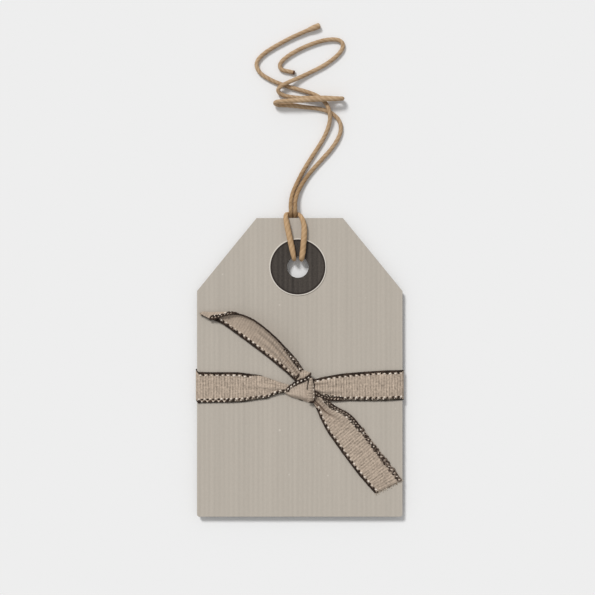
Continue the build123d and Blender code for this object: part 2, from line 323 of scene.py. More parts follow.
def ribbon_finish(name, tone, high_edge, high_reach, painted_crease_shades=(), smoother=None):
    """Ribbon cloth; each crease line of painted shade is its start and slope across, its width, where it is
    deep and where it ends.

    The weave is flatter past the first of the two places along it that are given as smoother.
    """
    material, graph, shader = finish_of(name, roughness=0.9, specular=0.2)
    values = {"Tone": tone, "Low edge": edge_tone, "High edge": high_edge, "High reach": high_reach}
    weave = graph.add("ShaderNodeGroup", values, node_tree=ribbed_weave)
    parts = graph.parts(graph.place("UV"))
    along, across = parts[0], parts[1]
    if smoother:
        rough = graph.between(along, *smoother)
        graph.fill(weave.inputs["Relief"], graph.math("ADD", graph.math("MULTIPLY", rough, 0.5), 0.5))
    colour = weave.outputs["Color"]
    # Painted shade along crease lines: the cloth darkens towards dark brown near each line
    for start, slope, width, deep, end in painted_crease_shades:
        line = graph.math("ADD", graph.math("MULTIPLY", along, slope), start)
        away = graph.math("ABSOLUTE", graph.math("SUBTRACT", across, line))
        share = graph.math("MULTIPLY", graph.between(away, width, 0.0), graph.between(along, end, deep))
        colour = graph.mix(share, colour, srgb(92, 74, 61))
    dress(graph, shader, colour, weave.outputs["Height"], depth=0.12 * mm, strength=0.8)
    shader.inputs["Sheen Weight"].default_value = 0.08
    return material


def yarn_finish(name, tone, other, grain=900):
    """Yarn of two tones, whose patches and fibres are so many to the metre."""
    material, graph, shader = finish_of(name, roughness=0.85, specular=0.2)
    fibre_grain = 6000
    place = graph.place("Object")
    patchy = graph.noise(place, (grain, grain, grain), 2, 0.5)
    fibre = graph.noise(place, (fibre_grain, fibre_grain, fibre_grain), 2, 0.5)
    colour = graph.mix(graph.between(patchy, 0.35, 0.65), tone, other)
    dress(graph, shader, colour, fibre, depth=0.05 * mm, strength=0.5)
    return material


# Twine: fibres twisted round the cord, lighter and darker along it

def twine_group():
    """The fibres, on UV coordinates that count diameters along the cord and turns round it."""
    graph, given = surface_group("twisted_fibre", {"Tone": grey, "Shade": grey})
    parts = graph.parts(graph.place("UV"))
    along, turn = parts[0], parts[1]
    angle = graph.math("MULTIPLY", turn, 2 * pi)
    ring = graph.vector(
        graph.math("COSINE", angle), graph.math("SINE", angle), graph.math("MULTIPLY", along, 0.1))
    fibre = graph.noise(ring, (3.5, 3.5, 2.5), 3, 0.6)
    patchy = graph.noise(graph.vector(along), (0.22, 1, 1), 2, 0.5)
    ply = graph.math("COSINE", graph.math("MULTIPLY", angle, plies))
    share = graph.between(graph.weighted((fibre, 0.7), (patchy, 0.6), (ply, -0.1)), 0.42, 0.9)
    graph.add("NodeGroupOutput", {
        "Color": graph.mix(share, given["Tone"], given["Shade"]),
        "Height": graph.weighted((fibre, 1.0), (ply, 0.1))})
    return graph.tree


twisted_fibre = twine_group()


def twine_finish(name, tone, shade, darker_stretches):
    """Twine that is darker over some stretches: pairs of places along it, in diameters, where the darkening
    starts and where it is full.
    """
    material, graph, shader = finish_of(name, roughness=0.8, specular=0.25)
    fibre = graph.add("ShaderNodeGroup", {"Tone": tone, "Shade": shade}, node_tree=twisted_fibre).outputs
    darker_tones = {"Tone": srgb(172, 141, 105), "Shade": srgb(147, 117, 83)}
    darker = graph.add("ShaderNodeGroup", darker_tones, node_tree=twisted_fibre).outputs
    along = graph.parts(graph.place("UV"))[0]
    colour = fibre["Color"]
    for lighter_at, darker_at in darker_stretches:
        colour = graph.mix(graph.between(along, lighter_at, darker_at), colour, darker["Color"])
    dress(graph, shader, colour, fibre["Height"], depth=0.1 * mm, strength=0.6)
    return material


card_stock = card_finish()
patch_paper = patch_finish()
ribbon_weave = ribbon_finish("ribbon_weave", weave_tone, edge_tone, high_reach=0.03)
smooth_weave = ribbon_finish(
    "ribbon_weave_smooth", weave_tone, edge_tone, high_reach=0.03, smoother=(1.7, 0.9))
# Painted light: the knot's front turn takes a lighter copy of the ribbon's tone, to offset the shade on its
# slopes
lightened_linked_weave = ribbon_finish(
    "ribbon_weave_linked_lightened", srgb(180, 164, 148), srgb(146, 130, 117), high_reach=0.125, smoother=(0, -1))
# The lower tail's cloth, with painted shade along two crease lines
crease_shaded_weave = ribbon_finish(
    "ribbon_weave_crease_shaded", weave_tone, srgb(166, 150, 136), high_reach=0.125,
    painted_crease_shades=[(0.145, 0.42, 0.1, 0.6, 1.15), (0.02, 0.5, 0.08, 0.3, 0.75)])
edge_yarns = {
    "dark": yarn_finish("edge_yarn_dark", srgb(38, 28, 22), srgb(66, 52, 43)),
    "mixed": yarn_finish("edge_yarn_mixed", srgb(46, 38, 31), srgb(96, 86, 76)),
    "brown": yarn_finish("edge_yarn_brown", srgb(50, 39, 32), srgb(136, 120, 107), grain=1700),
    "pale": yarn_finish("edge_yarn_pale", srgb(228, 218, 206), srgb(206, 192, 176)),
}
thread_pale = yarn_finish("cut_thread", srgb(212, 198, 180), srgb(128, 108, 90))
twine_tail_fibre = twine_finish("twine_tail_fibre", srgb(190, 163, 131), srgb(161, 131, 99), [(18, 3)])
twine_hitch_fibre = twine_finish(
    "twine_hitch_fibre", srgb(195, 162, 124), srgb(170, 138, 101),
    [(11, 6), (hitch_span - 11, hitch_span - 6)])
cut_fibre = yarn_finish("twine_cut_end", srgb(84, 58, 44), srgb(120, 88, 66))


# Meshes

def hold(name, data):
    """A new object in the scene, with its place in its data."""
    piece = bpy.data.objects.new(name, data)
    scene.collection.objects.link(piece)
    return piece


def add_piece(name, mesh, material):
    mesh.materials.clear()
    mesh.materials.append(material)
    return hold(name, mesh)


def finished_mesh(piece):
    """The piece's mesh with its modifiers, or a curve's points, as a plain mesh."""
    bpy.context.view_layer.update()
    return bpy.data.meshes.new_from_object(piece.evaluated_get(bpy.context.evaluated_depsgraph_get()))


def apply_modifiers(piece):
    plain = finished_mesh(piece)
    piece.modifiers.clear()
    piece.data = plain
    return piece


def smooth_mesh(name, points, faces):
    mesh = bpy.data.meshes.new(name)
    mesh.from_pydata(points, [], faces)
    mesh.polygons.foreach_set("use_smooth", [True] * len(mesh.polygons))
    return mesh


def add_line(curve, kind, places):
    line = curve.splines.new(kind)
    line.points.add(len(places) - 1)
    for point, place in zip(line.points, places):
        point.co = (*place, 1)
    return line


def curve_mesh(curve):
    """The mesh that a curve makes."""
    holder = hold(curve.name, curve)
    mesh = finished_mesh(holder)
    bpy.data.objects.remove(holder)
    return mesh


def cut_sheet(name, outlines, low, high, material):
    """A flat sheet cut along closed outlines, with a softened cut edge."""
    curve = bpy.data.curves.new(name + "_outline", "CURVE")
    curve.dimensions = "2D"
    curve.fill_mode = "BOTH"
    for outline in outlines:
        add_line(curve, "POLY", [(x, y, 0) for x, y in outline]).use_cyclic_u = True
    curve.extrude = (high - low) / 2 - cut_edge
    curve.bevel_depth = cut_edge
    curve.bevel_resolution = 2
    curve.offset = -cut_edge
    mesh = curve_mesh(curve)
    mesh.name = name
    for vertex in mesh.vertices:
        vertex.co.z += (low + high) / 2
    return add_piece(name, mesh, material)


def ring_points(centre, radius, count, start=0.0, turn=2 * pi):
    """Points round a whole ring, or from end to end of an arc."""
    steps = count if turn == 2 * pi else count - 1
    angles = [start + turn * i / steps for i in range(count)]
    return [(centre[0] + radius * cos(angle), centre[1] + radius * sin(angle)) for angle in angles]


corner_points, hole_points, patch_points = 8, 72, 128
corner_x, corner_y = half_width - corner_radius, card_low.y + corner_radius
card_outline = (
    ring_points((-corner_x, corner_y), corner_radius, corner_points, pi, pi / 2)
    + ring_points((corner_x, corner_y), corner_radius, corner_points, 1.5 * pi, pi / 2)
    + [(half_width, top_edge_y - shoulder_drop), (half_top_width, top_edge_y),
       (-half_top_width, top_edge_y), (-half_width, top_edge_y - shoulder_drop)])
hole_outline = ring_points((hole_x, hole_y), hole_radius, hole_points)
ring_outlines = [ring_points((hole_x, hole_y), patch_radius + rim_width, patch_points), hole_outline]

card = cut_sheet("card", [card_outline, hole_outline], card_low.z, card_high.z, card_stock)
front_ring = cut_sheet("front_ring", ring_outlines, patch_low.z, patch_high.z, patch_paper)
back_ring = cut_sheet("back_ring", ring_outlines, back_patch_low.z, back_patch_high.z, patch_paper)


# Ribbon

def blended(rows, steps=blend_steps):
    """The rows of a table with smooth rows between them."""
    last = len(rows) - 1
    made = []
    for index in range(last):
        before, here = rows[max(index - 1, 0)], rows[index]
        after, beyond = rows[index + 1], rows[min(index + 2, last)]
        for step in range(steps):
            t = step / steps
            made.append([
                b * (1 + 2 * t) * (1 - t)**2 + (c - a) / 2 * t * (1 - t)**2
                + c * (3 - 2 * t) * t**2 - (d - b) / 2 * (1 - t) * t**2
                for a, b, c, d in zip(before, here, after, beyond)])
    return made + [list(rows[last])]


def eased(share):
    """A share from 0 to 1 that starts and ends gently."""
    share = min(1, max(0, share))
    return share * share * (3 - 2 * share)


def lengths_along(points):
    """The length of a line so far, at each of its points."""
    total = [0.0]
    for start, end in zip(points, points[1:]):
        total.append(total[-1] + (end - start).length)
    return total


def lengths_of(rows):
    """Ribbon length at each row, along the middle of the cloth."""
    return lengths_along([row[len(row) // 2] for row in rows])


def cloth(name, rows, material, low_share=0.0, high_share=1.0):
    """Ribbon cloth through rows of points from one woven edge to the other, or over part of its width."""
    width = len(rows[0])
    along = lengths_of(rows)
    faces = []
    for i in range(len(rows) - 1):
        for j in range(width - 1):
            first = i * width + j
            faces.append((first, first + 1, first + width + 1, first + width))
    mesh = smooth_mesh(name, [point for row in rows for point in row], faces)
    layer = mesh.uv_layers.new(name="cloth")
    for loop in mesh.loops:
        row, column = divmod(loop.vertex_index, width)
        across = low_share + (high_share - low_share) * column / (width - 1)
        layer.data[loop.index].uv = (along[row] / ribbon_width, across)
    piece = add_piece(name, mesh, material)
    wall = piece.modifiers.new("cloth_thickness", "SOLIDIFY")
    wall.thickness = cloth_thickness
    wall.offset = 0
    return apply_modifiers(piece)


def surface_normal(rows, i, j):
    """Direction out of the shown side of the cloth at one point of its rows."""
    last_row, last_column = len(rows) - 1, len(rows[0]) - 1
    length = rows[min(i + 1, last_row)][j] - rows[max(i - 1, 0)][j]
    across = rows[i][min(j + 1, last_column)] - rows[i][max(j - 1, 0)]
    return across.cross(length).normalized()


def edge_line(rows, high_side, inset, shown, first, last):
    """Points along one woven edge, a little way in, with the direction out of the cloth at each."""
    widest_inset = 0.45
    line = []
    for i in range(first, len(rows) if last is None else last):
        order = list(range(len(rows[i])))
        if high_side:
            order.reverse()
        steps = list(zip(order, order[1:]))
        width = sum((rows[i][there] - rows[i][here]).length for here, there in steps)
        left = min(inset, widest_inset * width)
        for here, there in steps:
            step = rows[i][there] - rows[i][here]
            if step.length >= left:
                point = rows[i][here] + step.normalized() * left
                break
            left -= step.length
        normal = surface_normal(rows, i, here) * shown
        line.append((point + normal * cloth_thickness / 2, normal))
    return line


# Front runs, in millimetres from the knot's middle: X, lower edge, upper edge, crown, share of the cloth
# tucked under the upper edge, depth of the gathers and lift off the card
left_run = [
    (-31.8, -5.10, 4.70, 0.02, 0.0, 0.0, 0.0),
    (-27.4, -5.00, 4.62, 0.05, 0.0, 0.02, 0.0),
    (-20.2, -4.90, 4.62, 0.10, 0.0, 0.05, 0.0),
    (-16.8, -4.62, 4.25, 0.20, 0.01, 0.08, 0.0),
    (-13.6, -4.05, 3.65, 0.40, 0.06, 0.12, 0.0),
    (-10.5, -3.65, 2.85, 0.60, 0.16, 0.16, 0.0),
    (-8.4, -2.72, 2.15, 0.75, 0.22, 0.18, 0.05),
    (-6.6, -2.08, 1.50, 0.80, 0.26, 0.18, 0.10),
    (-4.8, -1.68, 0.95, 0.75, 0.28, 0.14, 0.15),
    (-2.8, -1.30, 0.50, 0.40, 0.28, 0.06, 0.05),
]
right_run = [
    (3.0, -1.50, 3.10, 0.50, 0.0, 0.20, 0.40),
    (4.7, -2.40, 2.48, 0.70, 0.0, 0.34, 0.50),
    (6.8, -3.55, 2.95, 0.65, 0.0, 0.34, 0.50),
    (9.4, -4.25, 3.48, 0.50, 0.0, 0.24, 0.35),
    (12.6, -4.55, 4.05, 0.34, 0.0, 0.14, 0.12),
    (15.9, -4.42, 4.40, 0.22, 0.0, 0.08, 0.0),
    (25.4, -4.45, 5.10, 0.06, 0.0, 0.03, 0.0),
    (31.8, -4.15, 5.30, 0.02, 0.0, 0.0, 0.0),
]

# The roll of a run's upper edge: its radius in millimetres, and the tucked share at which it is full
roll_radius = 0.3
full_roll_tuck = 0.1


def run_row(x, low, high, crown, tuck, gather, lift):
    """A row across a front run: crowned, gathered, and rolled under at the upper edge where it is tucked."""
    roll = roll_radius * min(1, tuck / full_roll_tuck)
    edge = high - roll
    shown = 1 - tuck
    row = []
    for j in range(columns + 1):
        v = j / columns
        if v <= shown:
            s = v / shown
            y = low + (edge - low) * s
            z = crown * sin(pi * s)**0.8 + 2 * roll * s**2 if 0 < s < 1 else 2 * roll * s**2
            z += gather * sin(pi * s) * (sin(5.2 * pi * s + 0.16 * x) + 0.5 * sin(9 * pi * s - 0.3 * x))
        else:
            under = (v - shown) * ribbon_width / mm
            angle = min(pi, under / max(roll, 0.01))
            y = edge + roll * sin(angle) - max(0, under - pi * roll)
            z = roll + roll * cos(angle)
        row.append(Vector((x * mm, ribbon_y + y * mm, cloth_base + (max(z, 0) + lift) * mm)))
    return row


def wrap_rows():
    """The ribbon from the knot, round the left edge, behind the card, round the right edge and back."""
    left = [run_row(*values) for values in reversed(blended(left_run))]
    right = [run_row(*values) for values in reversed(blended(right_run))]
    low_left, high_left = left[-1][0].y, left[-1][-1].y
    low_right, high_right = right[0][0].y, right[0][-1].y
    radius = left[-1][0].z - card_middle

    def flat_row(x, z, skew=0.0):
        share = min(max((x + run_end) / (2 * run_end), 0), 1)
        low = low_left + (low_right - low_left) * share
        high = high_left + (high_right - high_left) * share
        row = [Vector((x, low + (high - low) * j / columns, z)) for j in range(columns + 1)]
        return [point + Vector((0, skew, 0)) for point in row]

    turns = [pi * i / turn_steps for i in range(1, turn_steps + 1)]
    left_turn = [flat_row(-run_end - turn_reach * sin(a)**0.8, card_middle + radius * cos(a),
                          turn_skew * sin(min(a, pi / 2))**2) for a in turns]
    right_turn = [flat_row(run_end + turn_reach * sin(a)**0.8, card_middle + radius * cos(a))
                  for a in reversed(turns)]
    behind = []
    for i in range(1, band_steps):
        x = -run_end + 2 * run_end * i / band_steps
        share = eased((run_end - abs(x)) / band_slope)
        z = card_middle - radius + (band_behind - card_middle + radius) * share
        behind.append(flat_row(x, z, turn_skew * (1 - i / band_steps)))
    return left + left_turn + behind + right_turn + right


wrap = wrap_rows()
ribbon_band = cloth("ribbon_band", wrap, ribbon_weave)

# Free tails, as shares of their length and of the ribbon's width: place along and across, width, slope of
# the cloth at both edges, height, and turn of the row from square
upper_tail = [
    (-0.075, -0.165, 0.36, 0, 0, -0.045, -11),
    (0.000, -0.205, 0.44, 2, 8, -0.030, -11),
    (0.090, -0.150, 0.58, 4, 40, -0.040, -6),
    (0.195, -0.100, 0.77, 6, 66, -0.045, -2),
    (0.325, -0.045, 0.94, 8, 75, -0.055, 0),
    (0.460, -0.005, 1.00, 8, 76, -0.055, 0),
    (0.585, 0.030, 1.00, 8, 78, -0.055, 0),
    (0.700, 0.060, 1.00, 8, 95, -0.055, 0),
    (0.790, 0.075, 1.00, 6, 128, -0.052, 2),
    (0.870, 0.025, 0.88, 4, 165, -0.046, 4),
    (0.930, -0.010, 0.60, 4, 180, -0.040, 6),
    (0.988, -0.050, 0.36, 6, 165, -0.030, 14),
]
lower_tail = [
    (-0.070, -0.100, 0.32, 0, 0, -0.015, 8),
    (0.000, -0.135, 0.40, 4, -4, -0.025, 8),
    (0.055, -0.180, 0.50, 10, -8, -0.035, 6),
    (0.120, -0.245, 0.58, 14, -10, -0.040, 4),
    (0.205, -0.325, 0.79, 16, -12, -0.040, 2),
    (0.300, -0.375, 0.945, 14, -12, -0.040, 0),
    (0.480, -0.430, 0.985, 12, -12, -0.042, 0),
    (0.700, -0.475, 0.99, 10, -12, -0.042, 0),
    (0.860, -0.475, 0.97, 7, -7, -0.048, -6),
    (0.965, -0.460, 0.95, 2, -2, -0.056, -13),
]

# Where each tail leaves the knot, its length, and the direction that it lies in, in degrees from +X
solid_base = card_top + 0.08 * mm
upper_root = Vector((-0.95 * mm, ribbon_y + 4.33 * mm, solid_base + 0.9 * mm))
upper_length = 35.7 * mm
upper_compass = 148
lower_root = Vector((5.67 * mm, ribbon_y - 4.84 * mm, solid_base + 0.7 * mm))
lower_length = 35.0 * mm
lower_compass = -50

# Along a tail, as shares of its length: where its cloth starts to flatten, and over how much of it.
# Across it, as a share of its width: the width of a crease
flat_start, flat_reach = 0.2, 0.75
crease_width = 0.055


def heading(angle):
    return Vector((cos(radians(angle)), sin(radians(angle)), 0))


def tail_rows(root, compass, quarter, length, table, pleats, crease=None):
    """Rows of a free tail, each an arc of cloth from its lower edge to its upper edge.

    Pleats are their depth, reach and number, and how flat the tail's end lies. A crease is where it starts
    and ends across the cloth, its reach along it and its depth.
    """
    pleat_depth, pleat_reach, pleat_count, flatness = pleats
    sideways = heading(compass + quarter)
    rows = []
    for along, across, width, low_slope, high_slope, rise, turn in blended(table):
        out = heading(compass + quarter + turn)
        corner = root + heading(compass) * (length * along) + sideways * (ribbon_width * across)
        corner += Vector((0, 0, ribbon_width * rise))
        reach = ribbon_width * width
        bend = radians(high_slope - low_slope)
        first = radians(low_slope)
        row = []
        for j in range(columns + 1):
            v = j / columns
            angle = first + bend * v
            if abs(bend) < 0.001:
                side, up = v * cos(first), v * sin(first)
            else:
                side = (sin(angle) - sin(first)) / bend
                up = (cos(first) - cos(angle)) / bend
            up *= 1 - flatness * eased((along - flat_start) / flat_reach)
            gather = pleat_depth * max(0, 1 - along / pleat_reach)
            up += gather * sin(pi * v) * sin(pleat_count * pi * v + 0.6)
            if crease:
                crease_start, crease_end, crease_reach, crease_depth = crease
                valley = crease_start + (crease_end - crease_start) * along / crease_reach
                fade = max(0, 1 - (along / crease_reach)**2)
                up -= crease_depth * fade * exp(-((v - valley) / crease_width)**2)
            row.append(corner + out * (reach * side) + Vector((0, 0, reach * up)))
        rows.append(row)
    return rows


upper_rows = tail_rows(
    upper_root, upper_compass, -90, upper_length, upper_tail, pleats=(0.10, 0.55, 7, 0.9))
lower_rows = tail_rows(
    lower_root, lower_compass, 90, lower_length, lower_tail, pleats=(0.16, 0.42, 3, 0),
    crease=(0.25, 0.69, 0.3, 0.035))
upper_cloth = cloth("upper_tail_cloth", upper_rows, smooth_weave)
lower_cloth = cloth("lower_tail_cloth", lower_rows, crease_shaded_weave)

# The knot, in millimetres from its middle: lower edge, upper edge, crown and height of the upper edge
knot_turn = [
    (-4.67, -1.87, -4.79, -0.95, 0.68, 0.72),
    (-3.56, -2.59, -3.75, -0.05, 1.02, 1.08),
    (-2.29, -3.13, -2.77, 0.85, 1.30, 1.42),
    (-0.96, -3.54, -1.63, 1.72, 1.48, 1.72),
    (0.49, -4.02, 0.08, 2.60, 1.64, 1.95),
    (1.82, -4.49, 1.60, 3.15, 1.70, 2.05),
    (2.77, -4.84, 2.80, 3.80, 1.68, 2.00),
    (3.24, -4.90, 3.43, 4.55, 1.58, 1.90),
]
knot_lip = [
    (-1.09, 0.89, -1.38, 2.34, 1.20, 1.36),
    (-0.40, 1.33, 0.02, 4.30, 1.38, 1.48),
    (0.40, 1.80, 0.88, 5.22, 1.48, 1.42),
    (0.95, 2.15, 1.35, 5.30, 1.52, 1.25),
    (1.82, 2.69, 2.23, 4.93, 1.56, 1.28),
    (3.08, 3.48, 3.34, 4.43, 1.50, 1.30),
]
# The turn down the knot's right side: left edge, right edge, and the heights of both
knot_side = [
    (3.10, 2.75, 3.85, 2.95, 1.70, 1.45),
    (2.75, 1.70, 4.19, 1.85, 2.30, 1.35),
    (2.45, 0.32, 4.51, 0.16, 2.45, 1.20),
    (2.29, -1.58, 4.70, -1.74, 2.42, 1.10),
    (2.23, -3.32, 4.70, -3.48, 2.20, 1.00),
    (2.45, -4.68, 4.13, -4.81, 1.20, 0.50),
]


def turn_rows(table, height):
    """Rows of a turn of the knot, with the height at each point worked out from a row's last two numbers."""
    rows = []
    for low_x, low_y, high_x, high_y, *heights in blended(table):
        row = []
        for j in range(columns + 1):
            v = j / columns
            x = low_x + (high_x - low_x) * v
            y = low_y + (high_y - low_y) * v
            row.append(Vector((x * mm, ribbon_y + y * mm, cloth_base + height(v, x, *heights) * mm)))
        rows.append(row)
    return rows


def front_height(v, x, crown, top):
    """Rolled down at the lower edge, lying open at the upper one, with small pleats."""
    rolled, open_from, tuck_depth, pleat_depth = 0.22, 0.45, 0.1, 0.07
    rise = 1 - (1 - min(1, v / rolled))**2
    settle = max(0, (v - open_from) / (1 - open_from))
    z = crown * rise - tuck_depth * (1 - rise) + (top - crown) * settle**2
    return z + pleat_depth * sin(pi * v)**2 * sin(7 * v - 1.1 * x)


def lip_height(v, x, start, end):
    """High at the first edge, and rolled down to the other one."""
    return start + (end - start) * v**3 + 0.25 * sin(pi * v)


def side_height(v, x, start, end):
    """As the lip, fuller and steeper."""
    return start + (end - start) * v**2.5 + 0.35 * sin(pi * v)


knot_rows = turn_rows(knot_turn, front_height)
lip_rows = turn_rows(knot_lip, lip_height)
side_rows = turn_rows(knot_side, side_height)
knot_cloth = cloth("knot_front_turn", knot_rows, lightened_linked_weave, low_share=0.3)
lip_cloth = cloth("knot_upper_turn", lip_rows, ribbon_weave, low_share=0.3, high_share=0.8)
side_cloth = cloth("knot_side_turn", side_rows, ribbon_weave, low_share=0.3, high_share=0.8)


# Stitches and threads, grown along guide lines

def growth_tree(name, sizes):
    """A tree that takes guide lines, sizes and a finish: its graph, its inputs and the lines as curves."""
    tree = bpy.data.node_groups.new(name, "GeometryNodeTree")
    kinds = {float: "NodeSocketFloat", int: "NodeSocketInt", bool: "NodeSocketBool"}
    tree.interface.new_socket("Geometry", in_out="INPUT", socket_type="NodeSocketGeometry")
    for socket, value in sizes.items():
        made = tree.interface.new_socket(socket, in_out="INPUT", socket_type=kinds[type(value)])
        made.default_value = value
    tree.interface.new_socket("Finish", in_out="INPUT", socket_type="NodeSocketMaterial")
    tree.interface.new_socket("Geometry", in_out="OUTPUT", socket_type="NodeSocketGeometry")
    graph = Graph(tree)
    given = graph.add("NodeGroupInput").outputs
    return graph, given, graph.result("GeometryNodeMeshToCurve", {0: given["Geometry"]})


def carried_direction(graph):
    """The direction that the guide line carries at each of its points."""
    return graph.result("GeometryNodeInputNamedAttribute", {"Name": "out_of_cloth"}, data_type="FLOAT_VECTOR")


def end_tree(graph, given, placing, smooth):
    """Makes the placed shapes real, gives them their finish and puts them out."""
    placed = graph.result("GeometryNodeInstanceOnPoints", placing)
    real = graph.result("GeometryNodeRealizeInstances", {0: placed})
    if smooth:
        real = graph.result("GeometryNodeSetShadeSmooth", {"Geometry": real})
    finished = graph.result("GeometryNodeSetMaterial", {"Geometry": real, "Material": given["Finish"]})
    graph.add("NodeGroupOutput", {0: finished})
    return graph.tree


def stitch_tree():
    """One row of stitches along guide lines that carry the direction out of the cloth."""
    graph, given, lines = growth_tree("edge_stitch_row", {
        "Pitch": stitch_pitch, "Start": 0.0, "Length": 0.4 * mm, "Width": 0.3 * mm, "Height": 0.2 * mm,
        "Slant": 0.0, "Unevenness": 0.15, "Strand": 0.3, "Seed": 1, "Open": False})
    room = graph.math("SUBTRACT", graph.result("GeometryNodeSplineLength"), given["Start"])
    count = graph.math("ADD", graph.math("FLOOR", graph.math("DIVIDE", room, given["Pitch"])), 0.01)
    stop = graph.math("ADD", given["Start"], graph.math("MULTIPLY", count, given["Pitch"]))
    # The trim's start and end as lengths are its fifth and sixth inputs
    trimmed = graph.result("GeometryNodeTrimCurve", {0: lines, 4: given["Start"], 5: stop}, mode="LENGTH")
    spaced = graph.result(
        "GeometryNodeResampleCurve", {"Curve": trimmed, "Length": given["Pitch"]}, mode="LENGTH")
    bead = graph.result("GeometryNodeMeshUVSphere", {"Segments": 8, "Rings": 5, "Radius": 1.0})
    loop = graph.result("GeometryNodeCurvePrimitiveCircle", {"Resolution": 9, "Radius": 0.84})
    strand = graph.result("GeometryNodeCurvePrimitiveCircle", {"Resolution": 4, "Radius": given["Strand"]})
    link = graph.result("GeometryNodeCurveToMesh", {"Curve": loop, "Profile Curve": strand})
    shape = graph.result("GeometryNodeSwitch", {"Switch": given["Open"], "False": bead, "True": link})
    size = graph.vector(given["Length"], given["Width"], given["Height"])
    shaped = graph.result("GeometryNodeTransform", {"Geometry": shape, "Scale": size})
    slant = graph.vector(z=given["Slant"])
    turned = graph.result("GeometryNodeTransform", {"Geometry": shaped, "Rotation": slant})
    axes = {0: carried_direction(graph), 1: graph.result("GeometryNodeInputTangent")}
    face = graph.result("FunctionNodeAxesToRotation", axes, primary_axis="Z", secondary_axis="X")
    low = graph.math("SUBTRACT", 1.0, given["Unevenness"])
    high = graph.math("ADD", 1.0, given["Unevenness"])
    scale = graph.chance(low, high, given["Seed"])
    placing = {"Points": spaced, "Instance": turned, "Rotation": face, "Scale": scale}
    return end_tree(graph, given, placing, smooth=True)


def fringe_tree():
    """Short threads that stand out of a cut end, along the direction that its guide line carries."""
    graph, given, lines = growth_tree("cut_end_fringe", {
        "Spacing": 0.32 * mm, "Thickness": 0.1 * mm, "Shortest": 0.2 * mm, "Longest": 0.9 * mm,
        "Spread": 0.4, "Seed": 1})

    def chance(low, high, shift):
        return graph.chance(low, high, graph.math("ADD", given["Seed"], shift))

    spaced = graph.result(
        "GeometryNodeResampleCurve", {"Curve": lines, "Length": given["Spacing"]}, mode="LENGTH")
    rod = graph.result("GeometryNodeMeshCylinder", {
        "Vertices": 6, "Side Segments": 2, "Radius": given["Thickness"], "Depth": 1.0})
    raised = graph.result("GeometryNodeTransform", {"Geometry": rod, "Translation": (0, 0, 0.4)})
    spread = given["Spread"]
    back = graph.math("MULTIPLY", spread, -1.0)
    tilt = graph.vector(chance(back, spread, 7), chance(back, spread, 13))
    face = graph.result("FunctionNodeAlignRotationToVector", {"Vector": carried_direction(graph)}, axis="Z")
    leaning = graph.result(
        "FunctionNodeRotateRotation", {"Rotation": face, "Rotate By": tilt}, rotation_space="LOCAL")
    size = graph.vector(1.0, 1.0, chance(given["Shortest"], given["Longest"], 3))
    placing = {"Points": spaced, "Instance": raised, "Rotation": leaning, "Scale": size}
    return end_tree(graph, given, placing, smooth=False)


stitch_row = stitch_tree()
cut_fringe = fringe_tree()


def guide(lines):
    """Guide lines as one mesh of loose edges."""
    points, edges, normals = [], [], []
    for line in lines:
        start = len(points)
        points += [point for point, normal in line]
        normals += [normal for point, normal in line]
        edges += [(start + i, start + i + 1) for i in range(len(line) - 1)]
    mesh = bpy.data.meshes.new("guide")
    mesh.from_pydata(points, edges, [])
    carried = mesh.attributes.new("out_of_cloth", "FLOAT_VECTOR", "POINT")
    carried.data.foreach_set("vector", [value for normal in normals for value in normal])
    return mesh


def grown(name, lines, tree, values):
    """What a tree grows along guide lines, made into a plain mesh."""
    piece = hold(name, guide(lines))
    growth = piece.modifiers.new("growth", "NODES")
    growth.node_group = tree
    for item in tree.interface.items_tree:
        if item.in_out == "INPUT" and item.name in values:
            growth[item.identifier] = values[item.name]
    return apply_modifiers(piece)


# The pitch of the ribbon's stitches in millimetres, and half of it
full_pitch = stitch_pitch / mm
half_pitch = full_pitch / 2

